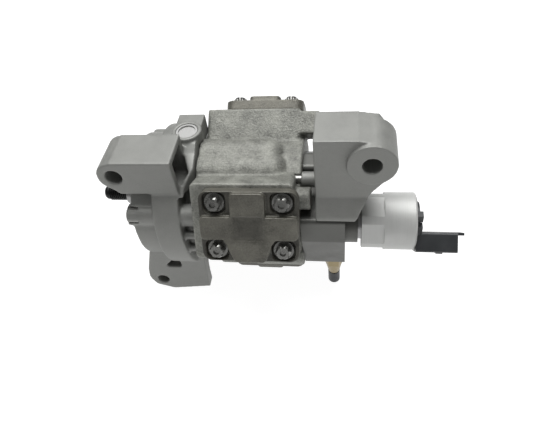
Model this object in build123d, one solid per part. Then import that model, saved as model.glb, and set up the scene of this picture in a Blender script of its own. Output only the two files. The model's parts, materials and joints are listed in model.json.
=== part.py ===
from build123d import *
import math
import os

# Three-cylinder radial piston fuel pump. All sizes are in millimetres.
# X runs along the drive shaft from the drive end to the rear, +Y to the rear side, +Z up.
# Sub-parts are drawn with X = 0 in the plane of the three cylinders. Export moves them by TAPER_TO_CYLINDERS, so
# the finished part has its origin on the shaft axis, at the large end of the shaft's taper.

# ---------------------------------------------------------------- driving dimensions
TAPER_TO_CYLINDERS = 84.0

RUN_FIT = 0.03           # radial clearance of a running fit
SEAT_FIT = 0.02          # clearance round a piece that is pressed, screwed or clamped in
FREE_GAP = 0.3           # gap between pieces that only pass each other
CAP_HEAD = 1.65          # head radius of a socket screw for each unit of its shank's radius

# cylinders: angle from +Y towards +Z, head length along X, screw spacing along X and across, centre along X
CYLINDERS = {
    "front": (154.0, 61.0, 41.4, 30.8, 0.0),
    "rear": (34.0, 54.0, 36.0, 30.8, 1.5),
    "lower": (274.0, 54.0, 36.0, 30.8, 0.0),
}

# crank drive
THROW = 3.0
ECCENTRIC_R = 17.0
ECCENTRIC_W = 23.0
CAM_BUSH_WALL = 2.0
CAM_RING_R = 28.0
CAM_RING_W = 22.0
CAM_FLAT = 24.0          # from the ring's centre to each flat
JOURNAL_R = 12.0
BUSH_WALL = 3.0

# pistons, from the flat of the ring outwards
FOOT_R = 9.0
FOOT_T = 3.0
PISTON_R = 4.0
PISTON_LENGTH = 24.0
SPRING_SEAT_R = 10.3
SPRING_SEAT_T = 1.5
SPRING_R = 8.5
SPRING_WIRE_R = 0.9
SPRING_TURNS = 3.5

# barrels and heads, as distances from the shaft axis
BARREL_R = 14.0
NOSE_R = 6.0
NOSE_START = 33.0
SHOULDER = 41.0
HEAD_SEAT = 54.0
HEAD_RIM = 61.0
HEAD_FACE = 64.0
HEAD_POCKET = 58.0
HEAD_WIDTH = 46.0
HEAD_CORNER_R = 6.0
CROSS_BAR_X = 21.0
CROSS_BAR_Y = 15.0
HEAD_SCREW_R = 3.0
HEAD_SCREW_DEPTH = 14.0

# delivery valve
BALL_R = 3.2
BALL_SEAT_R = 2.0
BALL_CHAMBER_R = 4.0
BALL_CHAMBER_TOP = 61.5
BALL_SPRING_R = 2.4
BALL_SPRING_WIRE_R = 0.35

# housing
HOUSING_FRONT = -37.5
HOUSING_REAR = 30.0
TOWER_REAR = 27.0
TOWER_HALF_WIDTH = 25.5
TOWER_CORNER_R = 3.0
CORE_R = 40.0
CHAMBER_R = 34.0
CHAMBER_REAR = 20.0
BULGE_R = 14.0
BULGE_RISE = 7.0         # of the bulges above the core
BULGES = ((111.0, 8.0), (91.5, 5.0))   # angle, and X where the round nose starts

# front flange
FLANGE_REAR = -47.5
DRUM_FRONT = -65.0
DRUM_R = 50.0
NOSE_FRONT = -82.0
FLANGE_NOSE_R = 44.0
SPIGOT_REAR = -22.0
FLANGE_SCREW_CIRCLE = 41.0
FLANGE_SCREW_ANGLES = (155.0, 272.0, 32.0)
FLANGE_SCREW_R = 4.0
FLANGE_SCREW_DEPTH = 10.0
FLANGE_BOSS_R = 7.5
SCREW_RECESS = 6.0
LOCATING_LUG_R = 3.0
LOCATING_LUGS = ((-43.0, 4.0), (-43.0, -9.0))

# mounting ears of the front flange
EAR_FRONT_Y = -36.7
EAR_BACK_Y = -8.7
EAR_WALL = 4.3
UPPER_EAR_BORE_R = 5.5
UPPER_EAR_BORE_X = -85.0
UPPER_EAR_BORE_Z = 50.3
UPPER_EAR_TOP = 61.8
UPPER_EAR_BOTTOM = 35.8
UPPER_EAR_OPEN_X = -46.0
UPPER_EAR_POCKET = 24.0
UPPER_EAR_FLOOR = 34.0
LOWER_EAR_BORE_R = 4.5
LOWER_EAR_BORE_X = -81.6
LOWER_EAR_BORE_Z = -59.1
LOWER_EAR_BACK_Y = -18.7

# core plug block on top of the flange
PLUG_X = -45.9
PLUG_Y = 3.6
PLUG_RING_R = 10.0
PLUG_R = 7.0
BLOCK_FRONT_X = -56.0
BLOCK_TOP = 52.0
BLOCK_BACK_Y = 24.5
STEP_GAP = 0.5           # between the flange's stepped top and the housing

# shaft drive end
TAPER_R = 10.0
TAPER_LENGTH = 17.0
TAPER_SMALL_R = 8.3
THREAD_R = 6.0
THREAD_LENGTH = 19.0
THREAD_PITCH = 1.5
SEAL_R = 16.0
SEAL_T = 8.0
KEY_R = 4.0
KEY_T = 3.0

# transfer pump rotors
ROTOR_LOBES = 5
ROTOR_PITCH_R = 15.0
ROTOR_LOBE_R = 5.0
ROTOR_OFFSET = 1.6
ROTOR_OUTER_R = 20.5
ROTOR_W = 8.0
ROTOR_DRIVE_R = 6.0
SHAFT_END = 39.5

# rear cover
COVER_REAR = 60.0
COVER_SCREW_R = 2.5
COVER_SCREW_SEAT = 48.0
COVER_SCREWS = ((2.0, 28.0), (24.0, -10.0), (-6.0, -30.0), (-33.5, -13.4))
COVER_SCREW_DEPTH = 8.0

# rear bracket
BRACKET_X = 39.7
BRACKET_FRONT_Y = -39.7
BRACKET_BACK_Y = -13.0
BRACKET_TOP = 80.5
BRACKET_WALL = 6.0
BRACKET_BORE_R = 5.5
BRACKET_BORE_X = 71.9
BRACKET_BORE_Z = 65.3
BRACKET_BOSS_R = 14.0
BRACKET_BOSS_FRONT_Y = -42.7
BRACKET_FOOT_Z = 22.3
NECK_ACROSS = (-25.5, -11.0)
NECK_DISTANCE = (36.0, 52.0)
NECK_SCREW = (-18.5, 42.0)   # across and distance, in the rear cylinder's upright frame
LEG_T = 8.0
LEG_DISTANCE = (36.0, 46.0)
SPACER_Y = -20.0
SPACER_Z = 33.5
SPACER_R = 5.0
BRACKET_SCREW_R = 3.0

# metering valve and its solenoid
VALVE_Y = -27.7
VALVE_Z = 4.1
VALVE_R = 10.0
VALVE_FRONT = 50.0
VALVE_NECK_R = 12.0
CAN_R = 18.5
CAN_FRONT = 67.8
CAN_REAR = 101.3
CAN_WALL = 2.0
CAN_FLATS = 34.3
CAN_FLATS_LENGTH = 14.0
CAN_FLATS_TURN = 41.6
SLEEVE_R = 8.5
SLEEVE_REAR = 91.5
ARMATURE_R = 6.25
ARMATURE_FRONT = 72.0
ARMATURE_LENGTH = 14.0
PLUNGER_R = 2.2
PLUNGER_FRONT = 55.0

# connector, drawn below the valve's axis and turned with it
CONNECTOR_ANGLE = 222.0
SOCKET_DROP = 13.1
SOCKET_HEIGHT = 12.6
SOCKET_WIDTH = 18.0
SOCKET_WALL = 1.7
SOCKET_REAR = 126.5
SOCKET_FLOOR = 108.0
TAB_REAR = 130.6
PIN_SPACING = 8.0
PIN_WIDTH = 2.8
PIN_T = 0.8
PIN_END = 119.5

# connections
RETURN_X = 49.5
RETURN_Y = -22.7
INLET_X = 50.0
INLET_Z = 4.0
OUTLET_ANGLE = 334.0
OUTLET_X = -15.0
OUTLET_R = 7.0
OUTLET_BOSS_R = 11.0
OUTLET_BOSS_RISE = 7.0   # of the boss's face above the core


# ---------------------------------------------------------------- shapes used by many parts
def bar_x(radius, start, end, y=0.0, z=0.0):
    """Round bar parallel to X."""
    bar = Cylinder(radius, end - start, align=(Align.CENTER, Align.CENTER, Align.MIN))
    return Pos(start, y, z) * Rot(0, 90, 0) * bar


def bar_y(radius, start, end, x=0.0, z=0.0):
    """Round bar parallel to Y."""
    bar = Cylinder(radius, end - start, align=(Align.CENTER, Align.CENTER, Align.MIN))
    return Pos(x, start, z) * Rot(-90, 0, 0) * bar


def bar_z(radius, start, end, x=0.0, y=0.0):
    """Round bar parallel to Z."""
    bar = Cylinder(radius, end - start, align=(Align.CENTER, Align.CENTER, Align.MIN))
    return Pos(x, y, start) * bar


def ring_x(outer, inner, start, end, y=0.0, z=0.0):
    """Round sleeve parallel to X."""
    return bar_x(outer, start, end, y, z) - bar_x(inner, start - 1, end + 1, y, z)


def block(x_range, y_range, z_range):
    """Rectangular block between three pairs of limits."""
    size = [limits[1] - limits[0] for limits in (x_range, y_range, z_range)]
    box = Box(*size, align=(Align.MIN, Align.MIN, Align.MIN))
    return Pos(x_range[0], y_range[0], z_range[0]) * box


def slab_y(points, start, end, corner=0.0):
    """Outline of (x, z) points, extruded along Y."""
    face = make_face(Polyline(*points, close=True))
    if corner > 0:
        face = fillet(face.vertices(), corner)
    return Pos(0, end, 0) * extrude(Plane.XZ * face, end - start)


def slab_x(points, start, end, corner=0.0):
    """Outline of (y, z) points, extruded along X."""
    face = make_face(Polyline(*points, close=True))
    if corner > 0:
        face = fillet(face.vertices(), corner)
    return Pos(start, 0, 0) * extrude(Plane.YZ * face, end - start)


def slab_z(points, start, end):
    """Outline of (x, y) points, extruded along Z."""
    face = make_face(Polyline(*points, close=True))
    return Pos(0, 0, start) * extrude(face, end - start)


def round_plate(length, width, corner, bottom, top, x=0.0, y=0.0):
    """Plate with rounded corners, square to Z."""
    face = RectangleRounded(length, width, corner)
    return Pos(x, y, bottom) * extrude(face, top - bottom)


def turn(angle, shape):
    """Turn a shape drawn upright so that its +Z points at an angle from +Y towards +Z."""
    return Rot(angle - 90, 0, 0) * shape


def polar(angle, radius):
    """Y and Z of a point at an angle and a distance from the shaft axis."""
    return radius * math.cos(math.radians(angle)), radius * math.sin(math.radians(angle))


def from_upright(angle, across, distance):
    """Y and Z of a point given across and outwards in the upright frame of a turned shape."""
    a = math.radians(angle)
    return distance * math.cos(a) + across * math.sin(a), distance * math.sin(a) - across * math.cos(a)


def coil_z(radius, wire, bottom, top, turns):
    """Helical spring standing along Z, between two faces."""
    height = top - bottom - 2 * wire
    path = Helix(pitch=height / turns, height=height, radius=radius)
    wire_face = Plane(origin=path @ 0, z_dir=path % 0) * Circle(wire)
    return Pos(0, 0, bottom + wire) * sweep(wire_face, path=path)


def hexagon(across_flats, bottom, top):
    """Hexagonal bar along Z."""
    return Pos(0, 0, bottom) * extrude(RegularPolygon(across_flats / 2, 6, major_radius=False), top - bottom)


def lobed_screw(shank, length, flange, head):
    """Flanged screw with a six-lobed head, standing on Z = 0 with its shank downwards."""
    lobes = [Pos(*[head * 0.72 * f(math.radians(60 * i)) for f in (math.cos, math.sin)]) * Circle(head * 0.28)
             for i in range(6)]
    outline = Sketch() + [Circle(head * 0.74)] + lobes
    body = bar_z(flange, 0, 1.5) + extrude(outline, 6.5) + bar_z(shank, -length, 0)
    dimple = bar_z(head * 0.4, 5.3, 7)
    crown = Cone(flange * 1.3, head * 0.8, 6.5, align=(Align.CENTER, Align.CENTER, Align.MIN))
    return (body & (crown + bar_z(flange, -length, 1.0))) - dimple


def cap_screw_x(radius, length, seat, y, z):
    """Socket-head screw parallel to X, its head on the +X side of its seat."""
    head = bar_x(radius * CAP_HEAD, seat, seat + radius * 2, y, z)
    socket = Pos(seat + radius * 1.0, y, z) * Rot(0, 90, 0) * hexagon(radius * 1.6, 0, radius * 2)
    return head + bar_x(radius, seat - length, seat, y, z) - socket


# ---------------------------------------------------------------- cylinders
def rest_offset(angle):
    """How far the ring's flat stands outwards at rest, with the eccentric pointing up."""
    return THROW * math.cos(math.radians(90.0 - angle))


def foot_height(angle):
    """Distance from the shaft axis to the underside of a piston's foot, at rest."""
    return CAM_FLAT + rest_offset(angle) + 0.05


def screw_places(name):
    """Screw centres of one head, in its upright frame."""
    _, _, along, across, shift = CYLINDERS[name]
    return [(shift + sx * along / 2, sy * across / 2) for sx in (-1, 1) for sy in (-1, 1)]


def make_head(name):
    """Cover plate of one cylinder, with a raised cross between four screw pockets."""
    angle, length, along, across, shift = CYLINDERS[name]
    plate = round_plate(length, HEAD_WIDTH, HEAD_CORNER_R, HEAD_SEAT, HEAD_RIM, shift)
    upright_bar = round_plate(CROSS_BAR_X, HEAD_WIDTH - 1, 3, HEAD_SEAT + 1, HEAD_FACE, shift)
    level_bar = round_plate(length - 1, CROSS_BAR_Y, 3, HEAD_SEAT + 1, HEAD_FACE, shift)
    skirt_points = [(-CROSS_BAR_X * 0.9, -1.0), (CROSS_BAR_X * 0.9, -1.0), (CROSS_BAR_X * 0.45, -22.0),
                    (-CROSS_BAR_X * 0.45, -22.0)]
    skirt = extrude(make_face(Polyline(*skirt_points, close=True)), HEAD_FACE - HEAD_SEAT - 1)
    head = plate + upright_bar + level_bar + Pos(shift, 0, HEAD_SEAT + 1) * skirt
    for x, y in screw_places(name):
        head -= bar_z(HEAD_SCREW_R + SEAT_FIT, HEAD_SEAT - 1, HEAD_FACE, x, y)
        head -= round_plate(14.4, 13.4, 4, HEAD_POCKET, HEAD_FACE + 1, x, y)
    head -= round_plate(CROSS_BAR_X - 2, CROSS_BAR_Y + 1, 1, HEAD_FACE - 0.6, HEAD_FACE + 1, shift)
    head -= bar_z(BALL_CHAMBER_R, HEAD_SEAT - 1, BALL_CHAMBER_TOP)
    groove = bar_z(8.6, HEAD_SEAT - 1, HEAD_SEAT + 1.8) - bar_z(6.0, HEAD_SEAT - 2, HEAD_SEAT + 3)
    return turn(angle, head - groove)


def make_head_screws(name):
    """Four flanged screws that hold one head."""
    screw = lobed_screw(HEAD_SCREW_R, HEAD_POCKET - HEAD_SEAT + HEAD_SCREW_DEPTH, 6.2, 4.9)
    placed = [Pos(x, y, HEAD_POCKET) * screw for x, y in screw_places(name)]
    return turn(CYLINDERS[name][0], Compound(children=placed))


def make_head_seals():
    """One sealing ring under each head."""
    seal = Pos(0, 0, HEAD_SEAT + 0.9) * Torus(7.3, 0.86)
    return Compound(children=[turn(values[0], seal) for values in CYLINDERS.values()])


def make_barrel(name):
    """Cylinder barrel, with a guide nose inside the piston spring."""
    barrel = bar_z(BARREL_R - SEAT_FIT, SHOULDER, HEAD_SEAT) + bar_z(NOSE_R, NOSE_START, SHOULDER + 1)
    barrel -= bar_z(PISTON_R + RUN_FIT, NOSE_START - 1, HEAD_SEAT - 2)
    barrel -= bar_z(BALL_SEAT_R, HEAD_SEAT - 3, HEAD_SEAT + 1)
    barrel -= bar_x(1.2, -BARREL_R - 1, 0, 0, HEAD_SEAT - 5)
    return turn(CYLINDERS[name][0], barrel)


def make_ball(name):
    """Delivery valve ball on its seat in the barrel's end."""
    height = HEAD_SEAT + math.sqrt(BALL_R**2 - BALL_SEAT_R**2) + 0.03
    return turn(CYLINDERS[name][0], Pos(0, 0, height) * Sphere(BALL_R))


def make_ball_spring(name):
    """Spring that holds one delivery ball on its seat."""
    bottom = HEAD_SEAT + math.sqrt(BALL_R**2 - BALL_SEAT_R**2) + math.sqrt(BALL_R**2 - BALL_SPRING_R**2) + 0.1
    return turn(CYLINDERS[name][0], coil_z(BALL_SPRING_R, BALL_SPRING_WIRE_R, bottom, BALL_CHAMBER_TOP - 0.05, 2.5))


def make_piston(name):
    """Piston with the flat foot that rides on the cam ring."""
    angle = CYLINDERS[name][0]
    foot = foot_height(angle)
    disc = chamfer(bar_z(FOOT_R, foot, foot + FOOT_T).edges(), 0.4)
    return turn(angle, disc + bar_z(PISTON_R, foot + FOOT_T - 1, foot + PISTON_LENGTH))


def make_spring_seat(name):
    """Dished washer between a piston's foot and its spring."""
    angle = CYLINDERS[name][0]
    bottom = foot_height(angle) + FOOT_T + SEAT_FIT
    seat = bar_z(SPRING_SEAT_R, bottom, bottom + SPRING_SEAT_T)
    return turn(angle, seat - bar_z(PISTON_R + 0.1, bottom - 1, bottom + SPRING_SEAT_T + 1))


def make_piston_spring(name):
    """Spring that keeps one piston's foot on the cam ring."""
    angle = CYLINDERS[name][0]
    bottom = foot_height(angle) + FOOT_T + SEAT_FIT + SPRING_SEAT_T + 0.05
    return turn(angle, coil_z(SPRING_R, SPRING_WIRE_R, bottom, SHOULDER - 0.05, SPRING_TURNS))


# ---------------------------------------------------------------- housing
def make_housing():
    """Cast body: a core with a tower for each cylinder, and the bosses cast on it."""
    body = bar_x(CORE_R, HOUSING_FRONT, HOUSING_REAR)
    for angle, _, _, _, _ in CYLINDERS.values():
        width = 2 * TOWER_HALF_WIDTH
        tower = round_plate(TOWER_REAR - HOUSING_FRONT, width, TOWER_CORNER_R, 0, HEAD_SEAT,
                            (TOWER_REAR + HOUSING_FRONT) / 2)
        body += turn(angle, tower)
    body += cast_bosses()
    body -= bar_x(CHAMBER_R, HOUSING_FRONT - 1, CHAMBER_REAR)
    body -= bar_x(JOURNAL_R + BUSH_WALL + SEAT_FIT, CHAMBER_REAR - 1, HOUSING_REAR + 1)
    for name, values in CYLINDERS.items():
        cuts = [bar_z(BARREL_R, CHAMBER_REAR, HEAD_SEAT + 1)]
        for x, y in screw_places(name):
            cuts.append(bar_z(HEAD_SCREW_R + SEAT_FIT, HEAD_SEAT - HEAD_SCREW_DEPTH - 1, HEAD_SEAT + 1, x, y))
        for cut in cuts:
            body -= turn(values[0], cut)
    for angle in FLANGE_SCREW_ANGLES:
        y, z = polar(angle, FLANGE_SCREW_CIRCLE)
        body -= bar_x(FLANGE_SCREW_R + SEAT_FIT, HOUSING_FRONT - 1, HOUSING_FRONT + FLANGE_SCREW_DEPTH + 1, y, z)
    for y, z in COVER_SCREWS:
        body -= bar_x(COVER_SCREW_R + SEAT_FIT, HOUSING_REAR - COVER_SCREW_DEPTH - 1, HOUSING_REAR + 1, y, z)
    y, z = neck_screw_place()
    body -= bar_x(BRACKET_SCREW_R + SEAT_FIT, BRACKET_X - 16, BRACKET_X + 1, y, z)
    body -= bar_x(BRACKET_SCREW_R + SEAT_FIT, HOUSING_REAR - 9, HOUSING_REAR + 1, SPACER_Y, SPACER_Z)
    return body - turn(OUTLET_ANGLE, bar_z(OUTLET_R + SEAT_FIT, CHAMBER_R + 2, outlet_face() + 1, OUTLET_X))


def neck_screw_place():
    """Y and Z of the screw between the rear cylinder's neck and the bracket."""
    return from_upright(CYLINDERS["rear"][0], *NECK_SCREW)


def outlet_face():
    """Distance from the shaft axis to the outlet boss's face."""
    return CORE_R + OUTLET_BOSS_RISE


def cast_bosses():
    """Round-nosed bulges between the front and rear towers, the bracket's neck, and the bosses."""
    bosses = []
    for angle, end in BULGES:
        y, z = polar(angle, CORE_R + BULGE_RISE - BULGE_R)
        bosses.append(bar_x(BULGE_R, HOUSING_FRONT, end, y, z))
        bosses.append(Pos(end, y, z) * Sphere(BULGE_R))
    y, z = polar(217.0, CORE_R)
    bosses.append(bar_x(10.0, -4.0, HOUSING_REAR, y, z))
    neck = block((TOWER_REAR - 1, BRACKET_X - SEAT_FIT), NECK_ACROSS, NECK_DISTANCE)
    bosses.append(turn(CYLINDERS["rear"][0], neck))
    bosses.append(bar_x(7.0, 10.0, BRACKET_X - 3, -34.5, 31.5))
    bosses.append(turn(OUTLET_ANGLE, bar_z(OUTLET_BOSS_R, CHAMBER_R + 1, outlet_face(), OUTLET_X)))
    return bosses


# ---------------------------------------------------------------- crank drive
def make_shaft():
    """Drive shaft with thread, taper, eccentric and the drive for the transfer pump."""
    taper_front = -TAPER_TO_CYLINDERS - TAPER_LENGTH
    shaft = bar_x(TAPER_R, -TAPER_TO_CYLINDERS, HOUSING_FRONT)
    taper = Cone(TAPER_SMALL_R, TAPER_R, TAPER_LENGTH, align=(Align.CENTER, Align.CENTER, Align.MIN))
    shaft += Pos(taper_front, 0, 0) * Rot(0, 90, 0) * taper
    shaft += make_thread(taper_front)
    shaft += bar_x(JOURNAL_R, HOUSING_FRONT - 7.5, HOUSING_REAR)
    shaft += bar_x(ECCENTRIC_R, -ECCENTRIC_W / 2, ECCENTRIC_W / 2, 0, THROW)
    drive = bar_x(ROTOR_DRIVE_R, HOUSING_REAR - 1, SHAFT_END)
    flats = block((HOUSING_REAR - 2, SHAFT_END + 1), (-20, 20), (-ROTOR_DRIVE_R + 1, ROTOR_DRIVE_R - 1))
    shaft += drive & flats
    shaft -= bar_x(2.3, SHAFT_END - 3, SHAFT_END + 1, 0, THROW / 2)
    return shaft - key_blank(KEY_R + SEAT_FIT, KEY_T + 2 * SEAT_FIT)


def make_thread(start):
    """Threaded end of the shaft, as parallel ridges behind a rounded tip."""
    end = start - THREAD_LENGTH
    core = fillet(bar_x(THREAD_R - 0.7, end, start + 1).faces().sort_by(Axis.X)[0].edges(), 3.0)
    ridges = int((THREAD_LENGTH - 4.5) / THREAD_PITCH)
    for i in range(ridges):
        x = start - 1.5 - i * THREAD_PITCH
        tooth = Cone(THREAD_R - 0.7, THREAD_R, 0.6, align=(Align.CENTER, Align.CENTER, Align.MIN))
        core += Pos(x, 0, 0) * Rot(0, -90, 0) * tooth
        core += Pos(x - 1.2, 0, 0) * Rot(0, 90, 0) * tooth
    return core


def key_blank(radius, thickness):
    """Half-round key across the taper, pointing to the lower front."""
    disc = Cylinder(radius, thickness)
    middle = -TAPER_TO_CYLINDERS - TAPER_LENGTH * 0.62
    return turn(245.0, Pos(middle, 0, TAPER_SMALL_R - 0.6) * Rot(90, 0, 0) * disc)


def make_key():
    """Half-round drive key in the shaft's taper."""
    return key_blank(KEY_R, KEY_T)


def make_cam_ring():
    """Ring with three flats, one under each piston, that orbits without turning."""
    ring = bar_x(CAM_RING_R, -CAM_RING_W / 2, CAM_RING_W / 2)
    for angle, _, _, _, _ in CYLINDERS.values():
        ring -= turn(angle, block((-20, 20), (-40, 40), (CAM_FLAT, CAM_FLAT + 20)))
    ring -= bar_x(ECCENTRIC_R + CAM_BUSH_WALL, -20, 20)
    return Pos(0, 0, THROW) * ring


def make_cam_bush():
    """Plain bearing between the eccentric and the cam ring."""
    outer = ECCENTRIC_R + CAM_BUSH_WALL - SEAT_FIT
    return ring_x(outer, ECCENTRIC_R + RUN_FIT, -CAM_RING_W / 2, CAM_RING_W / 2, 0, THROW)


def make_journal_bush(start, end):
    """Plain bearing of one of the shaft's journals."""
    return ring_x(JOURNAL_R + BUSH_WALL, JOURNAL_R + RUN_FIT, start, end)


def make_shaft_seal():
    """Lip seal ahead of the front bearing, with its garter groove."""
    seal = ring_x(SEAL_R, TAPER_R + 0.05, NOSE_FRONT + 2, NOSE_FRONT + 2 + SEAL_T)
    groove = ring_x(SEAL_R - 2, TAPER_R + 2.5, NOSE_FRONT + 1, NOSE_FRONT + 2 + SEAL_T * 0.6)
    return seal - groove


def make_stroke_link():
    """Small plug, turning in the shaft's end, that carries the pistons' motion."""
    return bar_x(2.0, SHAFT_END - 2.7, SHAFT_END - 0.3, 0, THROW / 2)


# ---------------------------------------------------------------- front flange
def make_flange():
    """Cast front flange: drum, nose, spigot, two mounting ears and the core plug's block."""
    body = bar_x(DRUM_R, DRUM_FRONT, FLANGE_REAR) + bar_x(FLANGE_NOSE_R, NOSE_FRONT, DRUM_FRONT + 1)
    body += bar_x(CHAMBER_R - SEAT_FIT, FLANGE_REAR - 1, SPIGOT_REAR)
    for angle in FLANGE_SCREW_ANGLES:
        y, z = polar(angle, FLANGE_SCREW_CIRCLE)
        body += bar_x(FLANGE_BOSS_R, NOSE_FRONT - 2, HOUSING_FRONT - SEAT_FIT, y, z)
    for y, z in LOCATING_LUGS:
        body += bar_x(LOCATING_LUG_R, FLANGE_REAR - 3, HOUSING_FRONT - SEAT_FIT, y, z)
    body += make_upper_ear() + make_lower_ear() + make_drum_step() + make_plug_block()
    body -= upper_ear_pocket()
    body -= bar_y(UPPER_EAR_BORE_R, EAR_FRONT_Y - 1, EAR_BACK_Y + 1, UPPER_EAR_BORE_X, UPPER_EAR_BORE_Z)
    body -= bar_z(PLUG_R + SEAT_FIT, BLOCK_TOP - 6, BLOCK_TOP + 4, PLUG_X, PLUG_Y)
    for angle in FLANGE_SCREW_ANGLES:
        y, z = polar(angle, FLANGE_SCREW_CIRCLE)
        body -= bar_x(FLANGE_SCREW_R + SEAT_FIT, NOSE_FRONT - 3, HOUSING_FRONT + 1, y, z)
        body -= bar_x(FLANGE_SCREW_R * CAP_HEAD + FREE_GAP, NOSE_FRONT - 3, NOSE_FRONT + SCREW_RECESS, y, z)
    body -= bar_x(SEAL_R + SEAT_FIT, NOSE_FRONT - 1, NOSE_FRONT + 2 + SEAL_T)
    body -= bar_x(TAPER_R + 0.6, NOSE_FRONT, SPIGOT_REAR + 1)
    body -= bar_x(JOURNAL_R + 1, HOUSING_FRONT - 9, SPIGOT_REAR + 1)
    body -= bar_x(JOURNAL_R + BUSH_WALL + SEAT_FIT, SPIGOT_REAR - 20, SPIGOT_REAR + 1)
    return body - ring_x(CHAMBER_R + 1, CHAMBER_R - 2.9, HOUSING_FRONT + 5, HOUSING_FRONT + 8)


def make_upper_ear():
    """Box-shaped mounting ear with a round end about its bore."""
    end_r = UPPER_EAR_BORE_R * 2
    ear = block((UPPER_EAR_BORE_X, UPPER_EAR_OPEN_X), (EAR_FRONT_Y, EAR_BACK_Y), (UPPER_EAR_BOTTOM, UPPER_EAR_TOP))
    ear += bar_y(end_r, EAR_FRONT_Y, EAR_BACK_Y, UPPER_EAR_BORE_X, UPPER_EAR_BORE_Z)
    wedge = [(UPPER_EAR_BORE_X - end_r * 0.8, UPPER_EAR_BORE_Z + end_r * 0.6),
             (UPPER_EAR_BORE_X - end_r * 0.95, UPPER_EAR_BORE_Z - end_r * 0.3),
             (UPPER_EAR_BORE_X, UPPER_EAR_BOTTOM), (UPPER_EAR_BORE_X, UPPER_EAR_TOP)]
    return ear + slab_y(wedge, EAR_FRONT_Y, EAR_BACK_Y)


def upper_ear_pocket():
    """Pocket that makes the upper ear a hollow box, with a slanted mouth towards the housing."""
    left = UPPER_EAR_OPEN_X - UPPER_EAR_POCKET
    front = EAR_FRONT_Y + EAR_WALL
    back = EAR_BACK_Y - EAR_WALL
    outline = [(left, back), (left, front), (UPPER_EAR_OPEN_X - 0.5, front), (UPPER_EAR_OPEN_X + 5, front + 8),
               (UPPER_EAR_OPEN_X + 0.5, back)]
    return slab_z(outline, UPPER_EAR_FLOOR, UPPER_EAR_TOP - EAR_WALL)


def make_lower_ear():
    """Lower mounting ear: a front plate with a thicker boss about its bore and a slanted web."""
    bore_x = LOWER_EAR_BORE_X
    bore_z = LOWER_EAR_BORE_Z
    outline = [(bore_x - 2, bore_z + 34), (bore_x - 9, bore_z + 12), (bore_x - 10.5, bore_z + 3),
               (bore_x - 7, bore_z - 7), (bore_x + 6, bore_z - 12), (bore_x + 36, bore_z - 7.5),
               (bore_x + 38, bore_z + 34)]
    plate = slab_y(outline, EAR_FRONT_Y, EAR_FRONT_Y + 9)
    web = [(bore_x - 2, bore_z + 30), (bore_x - 9, bore_z + 10), (bore_x - 10, bore_z), (bore_x - 7, bore_z - 7),
           (bore_x + 6, bore_z - 12), (bore_x + 20, bore_z - 10), (bore_x + 20, bore_z + 34)]
    side = [(EAR_FRONT_Y, bore_z + 34), (LOWER_EAR_BACK_Y + 4, bore_z + 34), (EAR_FRONT_Y + 5, bore_z - 7),
            (EAR_FRONT_Y, bore_z - 7)]
    ear = plate + slab_y(web, EAR_FRONT_Y, LOWER_EAR_BACK_Y) + slab_x(side, bore_x + 32, bore_x + 36)
    ear -= bar_y(LOWER_EAR_BORE_R, EAR_FRONT_Y - 1, LOWER_EAR_BACK_Y + 1, bore_x, bore_z)
    notch = [(bore_x + 6, bore_z + 17), (bore_x + 19, bore_z + 31), (bore_x + 19, bore_z + 17)]
    return ear - slab_y(notch, EAR_FRONT_Y - 1, EAR_FRONT_Y + 7)


def make_plug_block():
    """Flat block on top of the drum, reaching back to the housing, with the core plug's ring."""
    side = [(BLOCK_BACK_Y, DRUM_R - 12), (BLOCK_BACK_Y, BLOCK_TOP), (PLUG_Y - PLUG_RING_R, BLOCK_TOP),
            (PLUG_Y - PLUG_RING_R - 8, DRUM_R - 3), (PLUG_Y - PLUG_RING_R - 8, DRUM_R - 12)]
    top = slab_x(side, BLOCK_FRONT_X, HOUSING_FRONT - STEP_GAP)
    return top + bar_z(PLUG_RING_R, BLOCK_TOP - 5, BLOCK_TOP + 3, PLUG_X, PLUG_Y)


def make_drum_step():
    """Stretch of the drum's top that reaches back to the housing, round the upper ear's mouth."""
    rear = HOUSING_FRONT - STEP_GAP
    narrow = UPPER_EAR_OPEN_X + 2.5
    outline = [(BLOCK_FRONT_X, 6.0), (rear, 6.0), (rear, -22.0), (narrow, -33.0), (narrow, -38.0),
               (BLOCK_FRONT_X, -38.0)]
    return bar_x(DRUM_R, BLOCK_FRONT_X, rear) & slab_z(outline, UPPER_EAR_FLOOR - 1, DRUM_R + 1)


def make_core_plug():
    """Dished plug pressed into the flange's core hole."""
    plug = bar_z(PLUG_R, BLOCK_TOP - 5.9, BLOCK_TOP + 2.2, PLUG_X, PLUG_Y)
    return plug - bar_z(PLUG_R - 1.2, BLOCK_TOP + 1.2, BLOCK_TOP + 3, PLUG_X, PLUG_Y)


def make_flange_screws():
    """Long screws that hold the flange and the housing together."""
    screws = []
    for angle in FLANGE_SCREW_ANGLES:
        y, z = polar(angle, FLANGE_SCREW_CIRCLE)
        seat = NOSE_FRONT + SCREW_RECESS
        screw = cap_screw_x(FLANGE_SCREW_R, HOUSING_FRONT + FLANGE_SCREW_DEPTH - seat, 0, 0, 0)
        screws.append(Pos(seat, y, z) * Rot(0, 180, 0) * screw)
    return Compound(children=screws)


def make_flange_seal():
    """Sealing ring in the spigot's groove."""
    return Pos(HOUSING_FRONT + 6.5, 0, 0) * Rot(0, 90, 0) * Torus(CHAMBER_R - 1.5, 1.35)


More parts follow.
